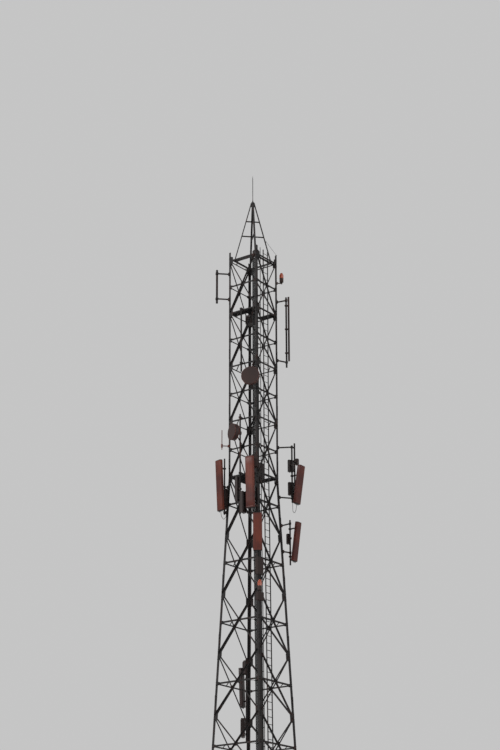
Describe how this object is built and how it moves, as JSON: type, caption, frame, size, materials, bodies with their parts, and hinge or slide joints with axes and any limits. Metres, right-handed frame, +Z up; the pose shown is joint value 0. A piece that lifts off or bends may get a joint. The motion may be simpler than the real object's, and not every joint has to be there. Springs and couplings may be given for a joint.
{
  "type": "self-supporting lattice communication tower",
  "caption": "Self-supporting square lattice tower with a straight upper part, spire and lightning rod, that carries panel antennas, dishes, radio units, ladders, floors and obstruction lights.",
  "frame": {"origin": "centre of the underside of the south-west leg's base plate", "axes": "+X east and +Y north along the tower's square sides, +Z up; the tower's axis stands at x 1.775, y 1.775"},
  "size_m": [3.97, 3.97, 39.27],
  "materials": {
    "leg_steel": "weathered galvanised, dull",
    "bracing_steel": "weathered galvanised, dull",
    "floor_steel": "galvanised grating, dull",
    "ladder_steel": "galvanised, worn at the rungs",
    "mount_steel": "galvanised pipe and clamps",
    "spire_steel": "painted, weathered",
    "rod_metal": "bright once, weathered",
    "cable_jacket": "matt black jacket",
    "antenna_shell": "matt shell, red-brown in the low light",
    "radio_shell": "powder coat, matt",
    "dish_shell": "powder coat, matt",
    "whip_shell": "matt fibreglass tube",
    "beacon_metal": "painted casting",
    "beacon_glass": "clear coloured dome"
  },
  "bodies": {
    "root": {"base_plates": "leg_steel", "beacon_lenses": "beacon_glass", "beacons": "beacon_metal", "cable_ladder": "ladder_steel", "canister_rear": "whip_shell", "climbing_ladder": "ladder_steel", "corner_ties": "bracing_steel", "dish_lower": "dish_shell", "dish_mount_lower": "mount_steel", "dish_mount_upper": "mount_steel", "dish_upper": "dish_shell", "feeder_cables": "cable_jacket", "floor_middle": "floor_steel", "floor_upper": "floor_steel", "jumper_cables": "cable_jacket", "junction_box_middle": "radio_shell", "junction_box_upper": "radio_shell", "junction_boxes_front": "radio_shell", "leg_ne": "leg_steel", "leg_nw": "leg_steel", "leg_se": "leg_steel", "leg_sw": "leg_steel", "lightning_rod": "rod_metal", "panel_east": "antenna_shell", "panel_low_east": "antenna_shell", "panel_low_south": "antenna_shell", "panel_mount_east": "mount_steel", "panel_mount_low_east": "mount_steel", "panel_mount_low_south": "mount_steel", "panel_mount_south": "mount_steel", "panel_mount_west": "mount_steel", "panel_rear": "antenna_shell", "panel_south": "antenna_shell", "panel_west": "antenna_shell", "pipe_mount_east": "mount_steel", "pipe_mount_south": "mount_steel", "pipe_mount_west": "mount_steel", "radio_unit_rear": "radio_shell", "radio_units_east": "radio_shell", "radio_units_south": "radio_shell", "rear_mount": "mount_steel", "side_east_lower": "bracing_steel", "side_east_upper": "bracing_steel", "side_north_lower": "bracing_steel", "side_north_upper": "bracing_steel", "side_south_lower": "bracing_steel", "side_south_upper": "bracing_steel", "side_west_lower": "bracing_steel", "side_west_upper": "bracing_steel", "slender_antenna": "whip_shell", "spire": "spire_steel", "spire_frame": "spire_steel", "stay_wire": "mount_steel", "whip_antenna": "whip_shell"}
  },
  "joints": []
}
